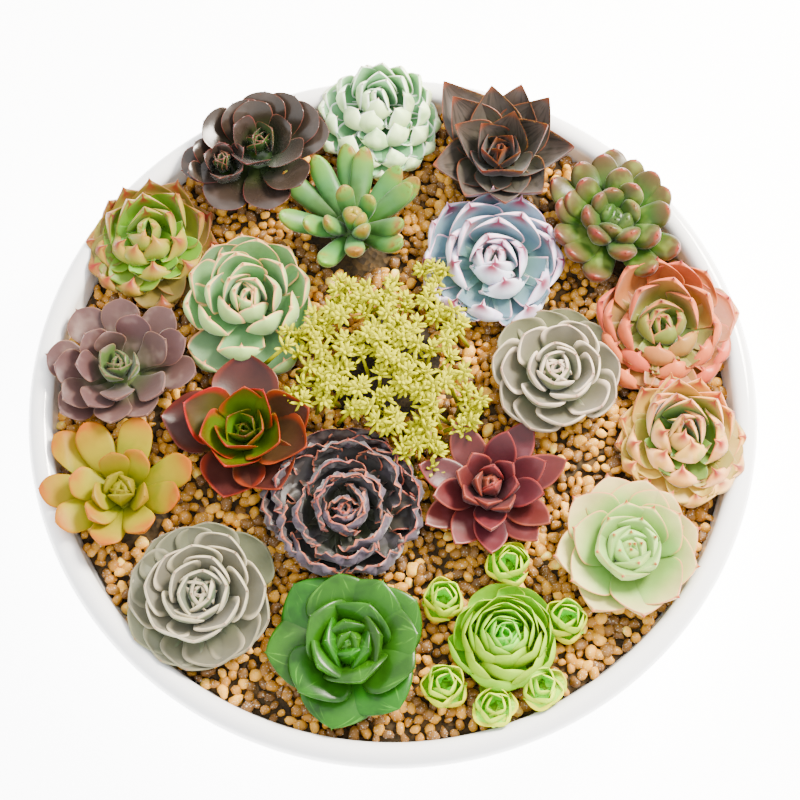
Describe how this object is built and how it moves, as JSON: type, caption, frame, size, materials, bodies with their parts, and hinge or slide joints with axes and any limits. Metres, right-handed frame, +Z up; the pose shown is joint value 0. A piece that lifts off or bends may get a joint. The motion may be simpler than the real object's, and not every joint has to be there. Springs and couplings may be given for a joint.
{
  "type": "succulent dish garden",
  "caption": "Shallow round glazed bowl on a foot ring, filled with soil and small pebbles and planted with rosette succulents of many colours.",
  "frame": {"origin": "middle of the bowl's foot ring, on the surface that it stands on", "axes": "+Z up out of the bowl, -Y towards the side that the picture is taken from, +X to its right"},
  "size_m": [0.3, 0.3, 0.092],
  "materials": {
    "white_glaze": "gloss",
    "potting_soil": "matte",
    "river_gravel": "matte",
    "brown_leaf": "satin",
    "globe_leaf": "matte",
    "dark_leaf": "matte",
    "finger_leaf": "matte",
    "chunky_leaf": "matte",
    "blue_leaf": "matte",
    "agave_leaf": "matte",
    "pink_edge_leaf": "matte",
    "coral_leaf": "matte",
    "lotus_right_leaf": "matte",
    "mauve_leaf": "matte",
    "peach_leaf": "matte",
    "red_green_leaf": "matte",
    "ruby_leaf": "matte",
    "ruffled_leaf": "matte",
    "yellow_leaf": "matte",
    "pale_large_leaf": "matte",
    "lotus_left_leaf": "matte",
    "haworthia_leaf": "satin",
    "sedum_leaf": "matte",
    "lime_leaf": "matte"
  },
  "bodies": {
    "root": {"bowl": "white_glaze", "soil": "potting_soil", "gravel": "river_gravel", "brown": "brown_leaf", "globe": "globe_leaf", "dark": "dark_leaf", "finger": "finger_leaf", "chunky": "chunky_leaf", "blue": "blue_leaf", "agave": "agave_leaf", "pink_edge": "pink_edge_leaf", "coral": "coral_leaf", "lotus_right": "lotus_right_leaf", "mauve": "mauve_leaf", "peach": "peach_leaf", "red_green": "red_green_leaf", "ruby": "ruby_leaf", "ruffled": "ruffled_leaf", "yellow": "yellow_leaf", "pale_large": "pale_large_leaf", "lotus_left": "lotus_left_leaf", "haworthia": "haworthia_leaf", "sedum": "sedum_leaf", "green_rose": "lime_leaf", "offset_1": "lime_leaf", "offset_2": "lime_leaf", "offset_3": "lime_leaf", "offset_4": "lime_leaf", "offset_5": "lime_leaf", "offset_6": "lime_leaf"}
  },
  "joints": []
}
